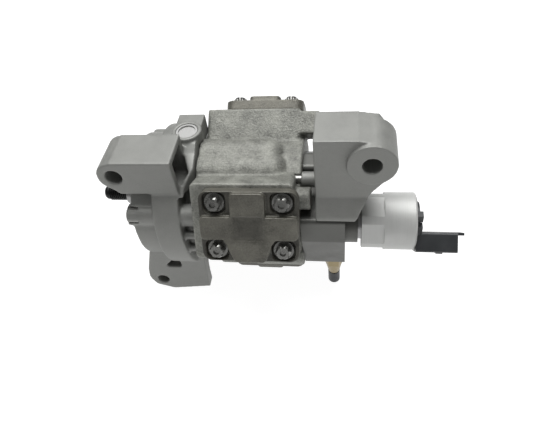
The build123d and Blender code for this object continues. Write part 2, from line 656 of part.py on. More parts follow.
# ---------------------------------------------------------------- transfer pump
def rotor_profile():
    """Closed outline of the inner rotor, rolled inside the outer rotor's lobes."""
    points = []
    steps = 30 * (ROTOR_LOBES - 1)
    lobe = ROTOR_LOBE_R + RUN_FIT
    for i in range(steps):
        t = 2 * math.pi * i / steps
        slip = (1 - ROTOR_LOBES) * t
        psi = math.atan2(math.sin(slip), ROTOR_PITCH_R / (ROTOR_OFFSET * ROTOR_LOBES) - math.cos(slip))
        x = ROTOR_PITCH_R * math.cos(t) - lobe * math.cos(t + psi) - ROTOR_OFFSET * math.cos(ROTOR_LOBES * t)
        y = -ROTOR_PITCH_R * math.sin(t) + lobe * math.sin(t + psi) + ROTOR_OFFSET * math.sin(ROTOR_LOBES * t)
        points.append((x, y))
    return make_face(Spline(*points, periodic=True))


def make_inner_rotor():
    """Inner rotor, driven by the flats at the shaft's end."""
    rotor = Pos(HOUSING_REAR + 0.05, 0, 0) * extrude(Plane.YZ * rotor_profile(), ROTOR_W)
    hole = bar_x(ROTOR_DRIVE_R + SEAT_FIT, HOUSING_REAR - 1, SHAFT_END + 2)
    flat = ROTOR_DRIVE_R - 1 + SEAT_FIT
    return rotor - (hole & block((HOUSING_REAR - 2, SHAFT_END + 3), (-20, 20), (-flat, flat)))


def make_outer_rotor():
    """Outer rotor, with one lobe more than the inner one, turning about an offset axis."""
    root = ROTOR_PITCH_R - ROTOR_LOBE_R + 2 * ROTOR_OFFSET + FREE_GAP
    face = Circle(ROTOR_OUTER_R) - Circle(root)
    disc = Circle(ROTOR_OUTER_R)
    for i in range(ROTOR_LOBES):
        y, z = polar(360 * i / ROTOR_LOBES, ROTOR_PITCH_R)
        face += Pos(y, z) * Circle(ROTOR_LOBE_R) & disc
    return Pos(HOUSING_REAR + 0.05, -ROTOR_OFFSET, 0) * extrude(Plane.YZ * face, ROTOR_W)


# ---------------------------------------------------------------- rear cover
def make_rear_cover():
    """Rear cover: closes the transfer pump and holds the metering valve and the fuel connections."""
    outline = [(-45, 2), (-45, 21.5), (-12, 21.5), (-9, 34), (4, 34), (14, 27), (27, 10), (30, -12), (14, -36),
               (-33, -36)]
    body = slab_x(outline, HOUSING_REAR + 0.02, COVER_REAR - 2.5, 3.0)
    body += bar_x(VALVE_R + 4.5, COVER_REAR - 5, COVER_REAR + 5.5, VALVE_Y, VALVE_Z)
    body += bar_y(9.0, 15, 31, INLET_X, INLET_Z)
    pocket_r = ROTOR_OUTER_R + RUN_FIT
    body -= bar_x(pocket_r, HOUSING_REAR - 1, HOUSING_REAR + 0.1 + ROTOR_W, -ROTOR_OFFSET, 0)
    body -= bar_x(ROTOR_DRIVE_R + 1, HOUSING_REAR, SHAFT_END + 1.5)
    body -= bar_x(VALVE_R + SEAT_FIT, VALVE_FRONT - 1, COVER_REAR + 6, VALVE_Y, VALVE_Z)
    for y, z in COVER_SCREWS:
        body -= bar_x(COVER_SCREW_R + SEAT_FIT, HOUSING_REAR - 1, COVER_REAR, y, z)
        body -= bar_x(COVER_SCREW_R * CAP_HEAD + FREE_GAP, COVER_SCREW_SEAT, COVER_REAR + 1, y, z)
    body -= bar_z(5 + SEAT_FIT, -37, -25, RETURN_X, RETURN_Y)
    return body - bar_y(6 + SEAT_FIT, 18, 32, INLET_X, INLET_Z)


def make_cover_screws():
    """Screws that hold the rear cover to the housing."""
    length = COVER_SCREW_SEAT - HOUSING_REAR + COVER_SCREW_DEPTH
    return Compound(children=[cap_screw_x(COVER_SCREW_R, length, COVER_SCREW_SEAT, y, z) for y, z in COVER_SCREWS])


def make_return_fitting():
    """Fuel return fitting: thread, hexagon, cone and spigot."""
    cone = Cone(4.0, 6.4, 12, align=(Align.CENTER, Align.CENTER, Align.MIN))
    fitting = bar_z(5.0, -37, -26) + hexagon(13.0, -46, -36.02) + Pos(0, 0, -58) * cone + bar_z(3.0, -66, -57)
    return Pos(RETURN_X, RETURN_Y, 0) * (fitting - bar_z(1.5, -67, -25))


def make_fitting_cap():
    """Transport cap on the return fitting's spigot."""
    cap = fillet(bar_z(4.3, -70.5, -58.05).faces().sort_by(Axis.Z)[0].edges(), 1.5)
    return Pos(RETURN_X, RETURN_Y, 0) * (cap - bar_z(3.05, -66.5, -57))


def make_inlet_nipple():
    """Barbed fuel supply nipple on the rear side of the cover."""
    nipple = bar_y(6.0, 18.5, 31.5) + Pos(0, 31.02, 0) * Rot(-90, 0, 0) * hexagon(17.0, 0, 6) + bar_y(4.2, 37, 56)
    for start in (42.0, 47.0, 52.0):
        barb = Cone(5.0, 4.2, 4.0, align=(Align.CENTER, Align.CENTER, Align.MIN))
        nipple += Pos(0, start, 0) * Rot(-90, 0, 0) * barb
    return Pos(INLET_X, 0, INLET_Z) * (nipple - bar_y(2.8, 17, 57))


def make_outlet_union():
    """High-pressure outlet union, with its sealing cone."""
    seat = outlet_face()
    union = bar_z(OUTLET_R, CHAMBER_R + 2.1, seat + 18) + hexagon(19.0, seat + SEAT_FIT, seat + 6)
    mouth = Cone(1.4, 4.6, 5.0, align=(Align.CENTER, Align.CENTER, Align.MIN))
    union -= bar_z(1.4, CHAMBER_R, seat + 19) + Pos(0, 0, seat + 13.5) * mouth
    return turn(OUTLET_ANGLE, Pos(OUTLET_X, 0, 0) * union)


# ---------------------------------------------------------------- rear bracket
def make_bracket():
    """Cast rear bracket: a hollow arm with a bored boss, standing on the housing's neck and a spacer."""
    bore_x = BRACKET_BORE_X
    bore_z = BRACKET_BORE_Z
    outline = [(BRACKET_X, BRACKET_TOP), (bore_x - 8, BRACKET_TOP), (bore_x + 4, bore_z + 13.3), (bore_x + 13, bore_z),
               (bore_x + 8, bore_z - 14), (bore_x + 0.8, bore_z - 23.4), (bore_x - 8.4, BRACKET_FOOT_Z),
               (BRACKET_X, BRACKET_FOOT_Z)]
    side = [(BRACKET_BACK_Y, BRACKET_TOP), (BRACKET_FRONT_Y, BRACKET_TOP), (BRACKET_FRONT_Y, 38.1),
            (BRACKET_FRONT_Y - 5.8, 25.5), (BRACKET_FRONT_Y - 5.8, BRACKET_FOOT_Z), (BRACKET_BACK_Y, BRACKET_FOOT_Z)]
    body = slab_y(outline, BRACKET_FRONT_Y - 10, BRACKET_BACK_Y)
    body &= slab_x(side, BRACKET_X - 1, bore_x + 30)
    hollow = [(BRACKET_X + BRACKET_WALL, BRACKET_TOP - BRACKET_WALL), (bore_x - 18, BRACKET_TOP - BRACKET_WALL),
              (bore_x - 18, BRACKET_FOOT_Z + BRACKET_WALL), (BRACKET_X + BRACKET_WALL, BRACKET_FOOT_Z + BRACKET_WALL)]
    body -= slab_y(hollow, BRACKET_FRONT_Y + BRACKET_WALL, BRACKET_BACK_Y + 1)
    body += bar_y(BRACKET_BOSS_R, BRACKET_BOSS_FRONT_Y, BRACKET_BACK_Y - 4, bore_x, bore_z)
    body += make_bracket_leg()
    body += bar_x(SPACER_R, HOUSING_REAR + 0.02, BRACKET_X + 1, SPACER_Y, SPACER_Z)
    body -= bar_y(BRACKET_BORE_R, BRACKET_BOSS_FRONT_Y - 1, BRACKET_BACK_Y + 1, bore_x, bore_z)
    y, z = neck_screw_place()
    body -= bar_x(BRACKET_SCREW_R + SEAT_FIT, BRACKET_X - 1, BRACKET_X + 12, y, z)
    return body - bar_x(BRACKET_SCREW_R + SEAT_FIT, HOUSING_REAR - 1, BRACKET_X + 12, SPACER_Y, SPACER_Z)


def make_bracket_leg():
    """Leg behind the bracket, from its back edge to the rear cylinder's neck."""
    x_range = (BRACKET_X, BRACKET_X + LEG_T)
    y, z = neck_screw_place()
    foot = turn(CYLINDERS["rear"][0], block(x_range, NECK_ACROSS, LEG_DISTANCE))
    return foot + block(x_range, (BRACKET_BACK_Y - 1, y - 4), (z - 4, z + 5))


def make_bracket_screws():
    """Screws from inside the bracket, into the housing's neck and through the spacer."""
    upper_seat = BRACKET_X + LEG_T + SEAT_FIT
    lower_seat = BRACKET_X + BRACKET_WALL + SEAT_FIT
    upper = cap_screw_x(BRACKET_SCREW_R, 22.0, upper_seat, *neck_screw_place())
    lower = cap_screw_x(BRACKET_SCREW_R, lower_seat - HOUSING_REAR + 8, lower_seat, SPACER_Y, SPACER_Z)
    return Compound(children=[upper, lower])


# ---------------------------------------------------------------- metering valve
def at_valve(shape):
    """Move a shape drawn about the X axis onto the valve's axis."""
    return Pos(0, VALVE_Y, VALVE_Z) * shape


def make_cartridge():
    """Valve body in the cover's bore, its neck, and the sleeve that the armature runs in."""
    body = bar_x(VALVE_R, VALVE_FRONT, CAN_FRONT - 1) + bar_x(VALVE_NECK_R, COVER_REAR + 5.6, CAN_FRONT - 0.03)
    body += bar_x(SLEEVE_R, CAN_FRONT - 1, SLEEVE_REAR)
    body -= bar_x(ARMATURE_R + RUN_FIT, ARMATURE_FRONT - 2, SLEEVE_REAR - 2)
    body -= bar_x(PLUNGER_R + RUN_FIT, VALVE_FRONT - 1, ARMATURE_FRONT)
    body -= ring_x(VALVE_R + 1, VALVE_R - 1.9, VALVE_FRONT + 3, VALVE_FRONT + 5.5)
    return at_valve(body - bar_z(1.5, 0, VALVE_R + 1, VALVE_FRONT + 8))


def make_valve_seal():
    """Sealing ring of the valve body."""
    return at_valve(Pos(VALVE_FRONT + 4.25, 0, 0) * Rot(0, 90, 0) * Torus(VALVE_R - 0.95, 0.9))


def make_can():
    """Solenoid can, with wrench flats at its front end."""
    can = bar_x(CAN_R, CAN_FRONT, CAN_REAR)
    can = chamfer(can.faces().sort_by(Axis.X)[-1].edges(), 1.0)
    flats_end = CAN_FRONT + CAN_FLATS_LENGTH
    hexagon_bar = Pos(CAN_FRONT - 1, 0, 0) * Rot(0, 90, 0) * Rot(0, 0, CAN_FLATS_TURN)
    hexagon_bar *= hexagon(CAN_FLATS, 0, CAN_FLATS_LENGTH + 1)
    can = (can & hexagon_bar) + (can & bar_x(CAN_R + 5, flats_end - 0.01, CAN_REAR + 1))
    can -= bar_x(CAN_R - CAN_WALL, CAN_FRONT + CAN_WALL + 0.2, CAN_REAR + 1)
    return at_valve(can - bar_x(SLEEVE_R + SEAT_FIT, CAN_FRONT - 1, CAN_FRONT + 5))


def make_coil():
    """Winding of the solenoid on its bobbin."""
    front = CAN_FRONT + CAN_WALL + 0.3
    outer = CAN_R - CAN_WALL - 0.1
    coil = ring_x(outer - 1, SLEEVE_R + 0.1, front, SLEEVE_REAR)
    coil += ring_x(outer, SLEEVE_R + 0.1, front, front + 1.5)
    return at_valve(coil + ring_x(outer, SLEEVE_R + 0.1, SLEEVE_REAR - 1.5, SLEEVE_REAR))


def make_armature():
    """Armature with the plunger that meters the fuel."""
    end = ARMATURE_FRONT + ARMATURE_LENGTH
    return at_valve(bar_x(ARMATURE_R, ARMATURE_FRONT, end) + bar_x(PLUNGER_R, PLUNGER_FRONT, ARMATURE_FRONT + 1))


def make_armature_spring():
    """Spring behind the armature."""
    start = ARMATURE_FRONT + ARMATURE_LENGTH + 0.1
    spring = Rot(0, 90, 0) * coil_z(4.0, 0.35, 0, SLEEVE_REAR - 2.05 - start, 2.5)
    return at_valve(Pos(start, 0, 0) * spring)


def make_connector():
    """Plastic end of the solenoid with its two-pin socket, locking tab and clips."""
    body = bar_x(CAN_R - CAN_WALL - 0.1, SLEEVE_REAR + 0.1, CAN_REAR + 0.4)
    body += bar_x(CAN_R - 6, CAN_REAR, CAN_REAR + 2.2)
    body += turn(CONNECTOR_ANGLE - 180, make_socket())
    for clip_y, clip_z in ((-7.0, 12.0), (-9.5, 4.5)):
        body += block((CAN_REAR + 0.1, CAN_REAR + 3.6), (clip_y - 2.2, clip_y + 2.2), (clip_z - 2.6, clip_z + 2.6))
    for side in (-1, 1):
        body -= turn(CONNECTOR_ANGLE - 180, pin_blade(side, SEAT_FIT))
    return at_valve(body)


def make_socket():
    """Shell of the two-pin socket, below the valve's axis, with its tab and bump."""
    low = -SOCKET_DROP - SOCKET_HEIGHT / 2
    high = -SOCKET_DROP + SOCKET_HEIGHT / 2
    half = SOCKET_WIDTH / 2
    shell = block((CAN_REAR + 0.1, SOCKET_REAR), (-half, half), (low, high))
    shell = fillet(shell.edges().filter_by(Axis.X), 1.5)
    shell -= block((SOCKET_FLOOR, SOCKET_REAR + 1), (-half + SOCKET_WALL, half - SOCKET_WALL),
                   (low + SOCKET_WALL, high - SOCKET_WALL))
    shell += block((SOCKET_REAR - 8, TAB_REAR), (-half + 2, half - 2), (high - SOCKET_WALL, high))
    return shell + block((SOCKET_REAR - 12, SOCKET_REAR - 8), (-2.5, 2.5), (low - 1.1, low + 1))


def pin_blade(side, gap):
    """One terminal blade, or its slot when a gap is given."""
    y = side * PIN_SPACING / 2
    half_w = PIN_WIDTH / 2 + gap
    half_t = PIN_T / 2 + gap
    z_range = (-SOCKET_DROP - half_t, -SOCKET_DROP + half_t)
    return block((SOCKET_FLOOR - 5 - gap, PIN_END), (y - half_w, y + half_w), z_range)


def make_connector_pins():
    """Two terminal blades in the socket."""
    blades = Compound(children=[pin_blade(side, 0.0) for side in (-1, 1)])
    return at_valve(turn(CONNECTOR_ANGLE - 180, blades))


# ---------------------------------------------------------------- export
def make_parts():
    """Every sub-part by node name, in the cylinder plane's frame."""
    parts = {"pump_housing": make_housing()}
    for name in CYLINDERS:
        parts["head_" + name] = make_head(name)
        parts["head_screws_" + name] = make_head_screws(name)
        parts["barrel_" + name] = make_barrel(name)
        parts["delivery_ball_" + name] = make_ball(name)
        parts["delivery_spring_" + name] = make_ball_spring(name)
        parts["piston_" + name] = make_piston(name)
        parts["spring_seat_" + name] = make_spring_seat(name)
        parts["piston_spring_" + name] = make_piston_spring(name)
    parts["head_seals"] = make_head_seals()
    parts["drive_shaft"] = make_shaft()
    parts["shaft_key"] = make_key()
    parts["cam_ring"] = make_cam_ring()
    parts["cam_bush"] = make_cam_bush()
    parts["front_bush"] = make_journal_bush(SPIGOT_REAR - 19.5, SPIGOT_REAR)
    parts["rear_bush"] = make_journal_bush(CHAMBER_REAR, HOUSING_REAR - 0.1)
    parts["shaft_seal"] = make_shaft_seal()
    parts["stroke_link"] = make_stroke_link()
    parts["front_flange"] = make_flange()
    parts["core_plug"] = make_core_plug()
    parts["flange_screws"] = make_flange_screws()
    parts["flange_seal"] = make_flange_seal()
    parts["inner_rotor"] = make_inner_rotor()
    parts["outer_rotor"] = make_outer_rotor()
    parts["rear_cover"] = make_rear_cover()
    parts["rear_cover_screws"] = make_cover_screws()
    parts["return_fitting"] = make_return_fitting()
    parts["fitting_cap"] = make_fitting_cap()
    parts["inlet_nipple"] = make_inlet_nipple()
    parts["outlet_union"] = make_outlet_union()
    parts["rear_bracket"] = make_bracket()
    parts["bracket_screws"] = make_bracket_screws()
    parts["valve_cartridge"] = make_cartridge()
    parts["valve_seal"] = make_valve_seal()
    parts["solenoid_can"] = make_can()
    parts["solenoid_coil"] = make_coil()
    parts["armature"] = make_armature()
    parts["armature_spring"] = make_armature_spring()
    parts["connector"] = make_connector()
    parts["connector_pins"] = make_connector_pins()
    return parts


os.makedirs("parts", exist_ok=True)
for node, shape in make_parts().items():
    export_step(Pos(TAPER_TO_CYLINDERS, 0, 0) * shape, f"parts/{node}.step")
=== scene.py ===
import json
import math

import bmesh
import bpy
import numpy as np
from mathutils import Matrix, Vector, noise


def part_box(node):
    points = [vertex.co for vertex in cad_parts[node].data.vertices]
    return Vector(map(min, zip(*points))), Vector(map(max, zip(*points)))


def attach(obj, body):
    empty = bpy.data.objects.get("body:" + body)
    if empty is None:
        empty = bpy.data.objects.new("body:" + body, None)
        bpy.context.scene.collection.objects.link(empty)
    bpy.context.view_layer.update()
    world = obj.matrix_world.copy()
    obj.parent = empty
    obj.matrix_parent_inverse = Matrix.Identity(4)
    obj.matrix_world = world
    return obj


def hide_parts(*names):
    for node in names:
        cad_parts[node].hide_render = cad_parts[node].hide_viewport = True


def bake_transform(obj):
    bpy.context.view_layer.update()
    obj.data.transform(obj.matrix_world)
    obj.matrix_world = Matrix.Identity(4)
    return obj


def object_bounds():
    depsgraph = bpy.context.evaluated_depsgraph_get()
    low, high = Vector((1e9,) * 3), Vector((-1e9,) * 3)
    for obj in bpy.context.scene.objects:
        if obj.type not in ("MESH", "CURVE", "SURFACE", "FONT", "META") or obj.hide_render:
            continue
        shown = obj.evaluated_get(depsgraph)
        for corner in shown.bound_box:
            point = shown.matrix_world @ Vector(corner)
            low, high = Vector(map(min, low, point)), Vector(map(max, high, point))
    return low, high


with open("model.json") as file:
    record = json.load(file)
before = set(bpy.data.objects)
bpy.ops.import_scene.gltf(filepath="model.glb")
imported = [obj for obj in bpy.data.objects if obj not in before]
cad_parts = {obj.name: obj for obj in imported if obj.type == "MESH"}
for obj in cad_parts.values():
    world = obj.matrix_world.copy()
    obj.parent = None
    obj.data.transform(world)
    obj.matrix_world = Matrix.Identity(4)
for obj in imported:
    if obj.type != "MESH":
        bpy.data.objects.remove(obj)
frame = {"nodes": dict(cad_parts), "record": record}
CAD_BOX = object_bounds()
NODES = frame["nodes"]
MM = 0.001
SLOTS = {part["node"]: part["material_slot"] for part in frame["record"]["subparts"]}
SHADE = "shade"
HEAD_AXES = {
    "head_" + joint["name"].split("_")[2]: Vector(joint["axis"]).normalized()
    for joint in frame["record"]["behaviour"]["joints"] if joint["name"].startswith("delivery_ball_")
}
THREAD_LENGTH = 19.0 * MM
TAPER_SMALL_END_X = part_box("drive_shaft")[0][0] + THREAD_LENGTH


# ---------------------------------------------------------------- camera
CAMERA_AIM = (0.0910, -0.0333, 0.0141)
CAMERA_DISTANCE = 0.330
CAMERA_AZIMUTH = math.radians(13.407)
CAMERA_ELEVATION = math.radians(47.645)
CAMERA_ROLL = math.radians(-9.146)
CAMERA_LENS = 34.34
SENSOR_WIDTH = 36.0
CLIP_START = 0.01


def add_camera():
    """Camera at the photograph's viewing angle."""
    flat = math.cos(CAMERA_ELEVATION)
    across = -flat * math.sin(CAMERA_AZIMUTH)
    forward = Vector((across, flat * math.cos(CAMERA_AZIMUTH), -math.sin(CAMERA_ELEVATION)))
    turn = forward.to_track_quat("-Z", "Y").to_matrix() @ Matrix.Rotation(CAMERA_ROLL, 3, "Z")
    data = bpy.data.cameras.new("camera")
    data.lens = CAMERA_LENS
    data.sensor_width = SENSOR_WIDTH
    data.clip_start = CLIP_START
    camera = bpy.data.objects.new("camera", data)
    place = Vector(CAMERA_AIM) - forward * CAMERA_DISTANCE
    camera.matrix_world = Matrix.Translation(place) @ turn.to_4x4()
    bpy.context.scene.collection.objects.link(camera)
    bpy.context.scene.camera = camera


# ---------------------------------------------------------------- stage and lights
FLOOR_HALF = 3.0
FLOOR_GAP = 0.0005
FLOOR_GREY = 0.20
FLOOR_ROUGHNESS = 0.9
FLOOR_GLOW = 0.95
SURROUND_STRENGTH = 0.20
TOP_LIGHT_PLACE = (0.05, 0.30, 1.3)
TOP_LIGHT_AIM = (0.08, 0.0, 0.0)
TOP_LIGHT_SIZE = 1.2
TOP_LIGHT_POWER = 31.0
WHITE = (1.0, 1.0, 1.0, 1.0)


def add_stage():
    """Plain floor under the lowest point, which glows so that it stays white."""
    height = CAD_BOX[0][2] - FLOOR_GAP
    mesh = bpy.data.meshes.new("floor")
    signs = ((-1, -1), (1, -1), (1, 1), (-1, 1))
    mesh.from_pydata([(x * FLOOR_HALF, y * FLOOR_HALF, height) for x, y in signs], [], [(0, 1, 2, 3)])
    floor = bpy.data.objects.new("floor", mesh)
    bpy.context.scene.collection.objects.link(floor)
    material = bpy.data.materials.new("floor")
    material.use_nodes = True
    shader = material.node_tree.nodes["Principled BSDF"]
    shader.inputs["Base Color"].default_value = (FLOOR_GREY, FLOOR_GREY, FLOOR_GREY, 1.0)
    shader.inputs["Roughness"].default_value = FLOOR_ROUGHNESS
    shader.inputs["Emission Color"].default_value = WHITE
    shader.inputs["Emission Strength"].default_value = FLOOR_GLOW
    mesh.materials.append(material)


def add_light(name, place, aim, size, power):
    """Square soft light that points at a place."""
    data = bpy.data.lights.new(name, "AREA")
    data.shape = "SQUARE"
    data.size = size
    data.energy = power
    light = bpy.data.objects.new(name, data)
    light.location = place
    toward = Vector(aim) - Vector(place)
    light.rotation_euler = toward.to_track_quat("-Z", "Y").to_euler()
    bpy.context.scene.collection.objects.link(light)


def add_lights():
    """Large soft light from above and a pale surround."""
    world = bpy.data.worlds.new("surround")
    world.use_nodes = True
    background = world.node_tree.nodes["Background"]
    background.inputs["Color"].default_value = WHITE
    background.inputs["Strength"].default_value = SURROUND_STRENGTH
    bpy.context.scene.world = world
    add_light("top_light", TOP_LIGHT_PLACE, TOP_LIGHT_AIM, TOP_LIGHT_SIZE, TOP_LIGHT_POWER)
    bpy.context.scene.view_settings.view_transform = "Standard"


# ---------------------------------------------------------------- material building blocks
# Noise scales are in features per metre, bump heights in metres.
SLOW_MOTTLE = 90.0
TURNED_MOTTLE = 120.0
TURNED_RINGS = (2600.0, 45.0, 45.0)
TURNED_DEPTH = 0.00003
GROUND_DEPTH = 0.00002
SHAFT_ROUGHNESS = 0.35
SHAFT_METALLIC = 0.9
BLACKENING_EDGE = 0.0004
FINE_DETAIL = 6.0
FINE_ROUGHNESS = 0.7
SLOW_DETAIL = 3.0
CAST_BUMP = 0.9
TURNED_BUMP = 0.35
SHAFT_BUMP = 0.3
GLOSS_SPREAD = 0.08
MOTTLE_GAIN = 1.6


def new_material(name, color, roughness, metallic):
    """Material with a Principled shader and object-space coordinates."""
    material = bpy.data.materials.new(name)
    material.use_nodes = True
    tree = material.node_tree
    shader = tree.nodes["Principled BSDF"]
    shader.inputs["Base Color"].default_value = (*color, 1.0)
    shader.inputs["Roughness"].default_value = roughness
    shader.inputs["Metallic"].default_value = metallic
    coordinates = tree.nodes.new("ShaderNodeTexCoord")
    return material, tree, shader, coordinates.outputs["Object"]


def noise_texture(tree, vector, scale, detail=4.0, roughness=0.55):
    """Noise factor at a scale in features per metre."""
    node = tree.nodes.new("ShaderNodeTexNoise")
    node.inputs["Scale"].default_value = scale
    node.inputs["Detail"].default_value = detail
    node.inputs["Roughness"].default_value = roughness
    tree.links.new(vector, node.inputs["Vector"])
    return node.outputs["Fac"]


def stretched(tree, vector, scale):
    """Coordinates scaled differently along X, Y and Z."""
    node = tree.nodes.new("ShaderNodeMapping")
    node.inputs["Scale"].default_value = scale
    tree.links.new(vector, node.inputs["Vector"])
    return node.outputs["Vector"]


def ramp(tree, factor, stops):
    """Colour ramp of (position, colour) stops."""
    node = tree.nodes.new("ShaderNodeValToRGB")
    elements = node.color_ramp.elements
    while len(elements) < len(stops):
        elements.new(0.5)
    for element, (position, color) in zip(elements, stops):
        element.position = position
        element.color = (*color, 1.0)
    tree.links.new(factor, node.inputs["Fac"])
    return node.outputs["Color"]


def blend_values(tree, first, second, share):
    """Weighted sum of two factors."""
    scaled = tree.nodes.new("ShaderNodeMath")
    scaled.operation = "MULTIPLY"
    tree.links.new(first, scaled.inputs[0])
    scaled.inputs[1].default_value = 1 - share
    total = tree.nodes.new("ShaderNodeMath")
    total.operation = "MULTIPLY_ADD"
    tree.links.new(second, total.inputs[0])
    total.inputs[1].default_value = share
    tree.links.new(scaled.outputs[0], total.inputs[2])
    return total.outputs[0]


def multiply_colors(tree, first, second):
    """Product of two colours."""
    node = tree.nodes.new("ShaderNodeMix")
    node.data_type = "RGBA"
    node.blend_type = "MULTIPLY"
    node.inputs["Factor"].default_value = 1.0
    tree.links.new(first, node.inputs["A"])
    tree.links.new(second, node.inputs["B"])
    return node.outputs["Result"]


def add_bump(tree, shader, height, strength, distance):
    """Bump from a height in the shader's normal."""
    node = tree.nodes.new("ShaderNodeBump")
    node.inputs["Strength"].default_value = strength
    node.inputs["Distance"].default_value = distance
    tree.links.new(height, node.inputs["Height"])
    tree.links.new(node.outputs["Normal"], shader.inputs["Normal"])


def tint(color, factor):
    """Colour scaled by a factor."""
    return tuple(min(1.0, channel * factor) for channel in color)


def mottled_color(tree, color, mottle, factor):
    """Colour that varies about its mean with a noise factor."""
    dark, pale = tint(color, 1 - MOTTLE_GAIN * mottle), tint(color, 1 + MOTTLE_GAIN * mottle)
    return ramp(tree, factor, [(0.30, dark), (0.5, color), (0.72, pale)])


def uneven_gloss(tree, shader, roughness, factor):
    """Roughness that varies slowly."""
    low = max(0.05, roughness - GLOSS_SPREAD)
    high = min(1.0, roughness + GLOSS_SPREAD)
    varied = ramp(tree, factor, [(0.3, (low,) * 3), (0.7, (high,) * 3)])
    tree.links.new(varied, shader.inputs["Roughness"])


# ---------------------------------------------------------------- materials
def cast_material(
    name, color, roughness, metallic, grain, depth, mottle=0.12, wear_and_hollow_shade=0.35, shaded=False
):
    """Cast metal: sand grain, slow mottling, edges rubbed brighter as wear, and hollows and creases darkened
    as painted shade.
    """
    material, tree, shader, place = new_material(name, color, roughness, metallic)
    slow = noise_texture(tree, place, SLOW_MOTTLE, SLOW_DETAIL)
    fine = noise_texture(tree, place, grain, FINE_DETAIL, FINE_ROUGHNESS)
    surface = mottled_color(tree, color, mottle, blend_values(tree, slow, fine, 0.5))
    if wear_and_hollow_shade > 0:
        # Pointiness: convex edges stay brightest as rubbed wear, while flats and above all hollows and
        # creases are darkened, which is painted shade.
        geometry = tree.nodes.new("ShaderNodeNewGeometry")
        stops = [(0.40, (1 - wear_and_hollow_shade,) * 3), (0.50, (0.92,) * 3), (0.60, (1.0,) * 3)]
        edge_wear_and_hollow_shade = ramp(tree, geometry.outputs["Pointiness"], stops)
        surface = multiply_colors(tree, surface, edge_wear_and_hollow_shade)
    if shaded:
        # The head's attribute carries painted shade in its screw pockets and a darker centre.
        attribute = tree.nodes.new("ShaderNodeAttribute")
        attribute.attribute_name = SHADE
        surface = multiply_colors(tree, surface, attribute.outputs["Color"])
    tree.links.new(surface, shader.inputs["Base Color"])
    uneven_gloss(tree, shader, roughness, slow)
    add_bump(tree, shader, fine, CAST_BUMP, depth)
    return material


def turned_rings(tree, place):
    """Fine rings about X, as a factor."""
    return noise_texture(tree, stretched(tree, place, TURNED_RINGS), 1.0, SLOW_DETAIL)


def turned_material(name, color, roughness, metallic, mottle=0.05):
    """Metal turned about X: fine rings, with slight colour variation."""
    material, tree, shader, place = new_material(name, color, roughness, metallic)
    rings = turned_rings(tree, place)
    slow = noise_texture(tree, place, TURNED_MOTTLE, SLOW_DETAIL)
    surface = mottled_color(tree, color, mottle, blend_values(tree, slow, rings, 0.6))
    tree.links.new(surface, shader.inputs["Base Color"])
    uneven_gloss(tree, shader, roughness, rings)
    add_bump(tree, shader, rings, TURNED_BUMP, TURNED_DEPTH)
    return material


def shaft_material(name, steel, black, boundary):
    """Ground steel whose threaded end, beyond a place along X, is blackened."""
    material, tree, shader, place = new_material(name, steel, SHAFT_ROUGHNESS, SHAFT_METALLIC)
    rings = turned_rings(tree, place)
    split = tree.nodes.new("ShaderNodeSeparateXYZ")
    tree.links.new(place, split.inputs["Vector"])
    zone = tree.nodes.new("ShaderNodeMapRange")
    zone.inputs["From Min"].default_value = boundary - BLACKENING_EDGE
    zone.inputs["From Max"].default_value = boundary + BLACKENING_EDGE
    tree.links.new(split.outputs["X"], zone.inputs["Value"])
    mix = tree.nodes.new("ShaderNodeMix")
    mix.data_type = "RGBA"
    tree.links.new(zone.outputs["Result"], mix.inputs["Factor"])
    tree.links.new(mottled_color(tree, black, 0.15, rings), mix.inputs["A"])
    tree.links.new(mottled_color(tree, steel, 0.05, rings), mix.inputs["B"])
    tree.links.new(mix.outputs["Result"], shader.inputs["Base Color"])
    uneven_gloss(tree, shader, SHAFT_ROUGHNESS, rings)
    add_bump(tree, shader, rings, SHAFT_BUMP, GROUND_DEPTH)
    return material


def make_materials():
    """Every material: colour, roughness, metallic, then a casting's grain, depth, mottle, and edge wear with
    painted shade in its hollows.
    """
    return {
        "housing": cast_material("housing_cast", (0.222, 0.225, 0.202), 0.50, 0.35, 800.0, 0.00060, 0.45),
        "head": cast_material("head_cast", (0.126, 0.122, 0.103), 0.42, 0.40, 1000.0, 0.00030,
                              mottle=0.34, wear_and_hollow_shade=0.5, shaded=True),
        "aluminium": cast_material("blasted_aluminium", (0.225, 0.228, 0.215), 0.55, 0.35, 2300.0, 0.00010,
                                   mottle=0.12),
        "plug": turned_material("pressed_plug", (0.38, 0.38, 0.373), 0.45, 0.4),
        "can": turned_material("turned_aluminium", (0.47, 0.475, 0.463), 0.50, 0.25),
        "cover": cast_material("machined_cover", (0.095, 0.096, 0.089), 0.45, 0.5, 2300.0, 0.00004,
                               mottle=0.06, wear_and_hollow_shade=0.0),
        "steel": turned_material("ground_steel", (0.30, 0.30, 0.30), 0.32, 0.9),
        "shaft": shaft_material("shaft_steel", (0.27, 0.27, 0.267), (0.026, 0.027, 0.027), TAPER_SMALL_END_X),
        "screw": cast_material("screw_steel", (0.22, 0.22, 0.21), 0.28, 0.9, 2500.0, 0.00004, 0.12, 0.0),
        "black": cast_material("black_plastic", (0.024, 0.026, 0.028), 0.42, 0.0, 3000.0, 0.00003, 0.10, 0.0),
        "brass": turned_material("brass", (0.28, 0.23, 0.135), 0.35, 0.8, 0.08),
        "bronze": turned_material("bronze", (0.45, 0.33, 0.18), 0.45, 0.9),
        "rubber": cast_material("rubber", (0.02, 0.02, 0.02), 0.7, 0.0, 2500.0, 0.00003, 0.08, 0.0),
        "winding": turned_material("winding", (0.25, 0.09, 0.03), 0.4, 0.3),
    }


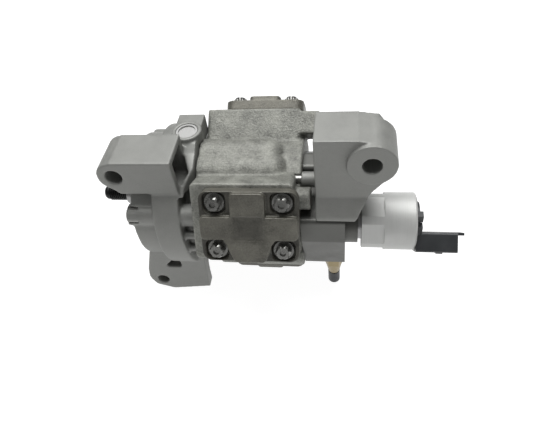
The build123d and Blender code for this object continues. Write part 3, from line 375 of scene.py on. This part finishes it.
SLOT_LOOKS = {
    "housing_iron": "housing", "head_iron": "head", "screw_steel": "screw", "barrel_steel": "steel",
    "bright_steel": "steel", "spring_steel": "steel", "shaft_steel": "shaft", "bush_bronze": "bronze",
    "seal_rubber": "rubber", "flange_aluminium": "aluminium", "bracket_aluminium": "aluminium",
    "plug_steel": "plug", "cover_iron": "cover", "can_aluminium": "can", "winding": "winding",
    "connector_plastic": "black", "pin_brass": "brass", "fitting_brass": "brass", "cap_plastic": "black",
}


def dress_nodes(looks):
    """Give every CAD node the material of its record slot."""
    for name, node in NODES.items():
        node.data.materials.clear()
        node.data.materials.append(looks[SLOT_LOOKS[SLOTS[name]]])


# ---------------------------------------------------------------- castings
CASTING_BODY = "housing"
HEAD_POCKET_DEPTH = 3.0 * MM
HEAD_RECESS_HALF = (9.5 * MM, 8.0 * MM)
# Share of colour left on the head pocket floors: painted shade.
POCKET_SHADE = 0.5
RECESS_SHADE = 0.5
RECESS_BORDER = (0.6, 0.7)
POCKET_FLOOR_TILT = 0.4
SMOOTH_FACTOR = 0.5
WAVE_SCALES = (160.0, 420.0)
FINE_WAVE_SHARE = 0.5
RIDGE_PLACE = 0.32
RIDGE_R = 0.28 * MM
CASTING_SIZES = {
    "pump_housing": ("housing", 0.92 * MM, 5, 0.10 * MM),
    "front_flange": ("aluminium", 0.80 * MM, 3, 0.03 * MM),
    "rear_bracket": ("aluminium", 0.60 * MM, 4, 0.03 * MM),
}
HEAD_SIZES = ("head", 0.42 * MM, 5, 0.05 * MM)


def vertex_arrays(mesh):
    """Places and normals of a mesh's vertices."""
    places = np.empty((len(mesh.vertices), 3), dtype=np.float32)
    normals = np.empty_like(places)
    mesh.vertices.foreach_get("co", places.ravel())
    mesh.vertices.foreach_get("normal", normals.ravel())
    return places, normals


def skin_lift(place):
    """How far the sand-cast skin lies above the mean, as a share of the wave."""
    coarse, fine = WAVE_SCALES
    return noise.noise(place * coarse) + FINE_WAVE_SHARE * noise.noise(place * fine)


def softened_mesh(source, voxel, passes, wave):
    """Copy of a CAD mesh with rounded edges and corners and an uneven sand-cast skin."""
    piece = bpy.data.objects.new("casting", source.data.copy())
    bpy.context.scene.collection.objects.link(piece)
    remesh = piece.modifiers.new("remesh", "REMESH")
    remesh.mode = "VOXEL"
    remesh.voxel_size = voxel
    smooth = piece.modifiers.new("smooth", "SMOOTH")
    smooth.factor = SMOOTH_FACTOR
    smooth.iterations = passes
    graph = bpy.context.evaluated_depsgraph_get()
    mesh = bpy.data.meshes.new_from_object(piece.evaluated_get(graph))
    bpy.data.objects.remove(piece)
    places, normals = vertex_arrays(mesh)
    lifts = np.array([skin_lift(Vector(place)) for place in places], dtype=np.float32)
    places += normals * lifts[:, None] * wave
    mesh.vertices.foreach_set("co", places.ravel())
    mesh.update()
    for polygon in mesh.polygons:
        polygon.use_smooth = True
    return mesh


def shade_head(mesh, axis):
    """Paint shade into a head's screw pockets and make its smooth centre darker, with a soft border."""
    places, normals = vertex_arrays(mesh)
    up = np.array(axis)
    heights = places @ up
    from_middle_x = abs(places[:, 0] - (places[:, 0].min() + places[:, 0].max()) / 2)
    from_middle_y = abs(places @ np.array(axis.cross(Vector((1, 0, 0)))))
    half_x, half_y = HEAD_RECESS_HALF
    near = np.maximum(from_middle_x / half_x, from_middle_y / half_y)
    border, spread = RECESS_BORDER
    values = RECESS_SHADE + (1 - RECESS_SHADE) * np.clip((near - border) / spread, 0.0, 1.0)
    # Pocket floors get painted shade, as if shadowed by the pocket walls.
    floor = (heights < heights.max() - HEAD_POCKET_DEPTH) & (normals @ up > POCKET_FLOOR_TILT)
    values[floor] = POCKET_SHADE
    colors = np.ones((len(values), 4), dtype=np.float32)
    colors[:, :3] = values[:, None]
    attribute = mesh.attributes.new(SHADE, "FLOAT_COLOR", "POINT")
    attribute.data.foreach_set("color", colors.ravel())


def add_casting(name, look, voxel, passes, wave):
    """Softened casting that stands for a CAD node."""
    mesh = softened_mesh(NODES[name], voxel, passes, wave)
    if name in HEAD_AXES:
        shade_head(mesh, HEAD_AXES[name])
    mesh.materials.clear()
    mesh.materials.append(look)
    casting = bpy.data.objects.new(name + "_casting", mesh)
    bpy.context.scene.collection.objects.link(casting)
    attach(casting, CASTING_BODY)
    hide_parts(name)
    return casting


def section_loops(mesh, place_x):
    """Loops of points where a plane across X cuts a mesh."""
    section = bmesh.new()
    section.from_mesh(mesh)
    everything = section.verts[:] + section.edges[:] + section.faces[:]
    cut = bmesh.ops.bisect_plane(section, geom=everything, plane_co=(place_x, 0, 0), plane_no=(1, 0, 0))
    neighbours = {}
    for edge in (item for item in cut["geom_cut"] if isinstance(item, bmesh.types.BMEdge)):
        first, second = edge.verts
        neighbours.setdefault(first, []).append(second)
        neighbours.setdefault(second, []).append(first)
    loops = []
    unused = dict.fromkeys(neighbours)
    while unused:
        here = next(iter(unused))
        del unused[here]
        loop = [here.co.copy()]
        following = [vertex for vertex in neighbours[here] if vertex in unused]
        while following:
            here = following[0]
            del unused[here]
            loop.append(here.co.copy())
            following = [vertex for vertex in neighbours[here] if vertex in unused]
        loops.append(loop)
    section.free()
    return loops


def add_parting_ridge(casting, place_x, radius):
    """Thin ridge round a casting where its moulds met, at a place along X."""
    outer = max(section_loops(casting.data, place_x), key=len)
    curve = bpy.data.curves.new("parting_ridge", "CURVE")
    curve.dimensions = "3D"
    curve.bevel_depth = radius
    curve.bevel_resolution = 1
    spline = curve.splines.new("POLY")
    kept = outer[::2]
    spline.points.add(len(kept) - 1)
    for point, co in zip(spline.points, kept):
        point.co = (*co, 1.0)
    spline.use_cyclic_u = True
    curve.materials.append(casting.data.materials[0])
    ridge = bpy.data.objects.new("parting_ridge", curve)
    bpy.context.scene.collection.objects.link(ridge)
    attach(ridge, CASTING_BODY)


def add_castings(looks):
    """Every cast piece: its look, voxel size, smoothing passes and skin depth."""
    sizes = {**CASTING_SIZES, **{name: HEAD_SIZES for name in HEAD_AXES}}
    castings = {}
    for name, (look, voxel, passes, wave) in sizes.items():
        castings[name] = add_casting(name, looks[look], voxel, passes, wave)
    low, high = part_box("pump_housing")
    add_parting_ridge(castings["pump_housing"], low[0] + RIDGE_PLACE * (high[0] - low[0]), RIDGE_R)


def add_spring(name):
    """Copy of a CAD spring, baked in its place, that stands for the CAD node."""
    mesh = NODES[name].data.copy()
    spring = bpy.data.objects.new(name + "_coil", mesh)
    bpy.context.scene.collection.objects.link(spring)
    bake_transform(spring)
    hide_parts(name)


def add_springs():
    """The springs of the delivery valves and the armature."""
    for head, axis in HEAD_AXES.items():
        cylinder = head.split("_")[1]
        add_spring("delivery_spring_" + cylinder)
    add_spring("armature_spring")


# ---------------------------------------------------------------- scene
add_camera()
LOOKS = make_materials()
dress_nodes(LOOKS)
add_castings(LOOKS)
add_springs()
add_stage()
add_lights()
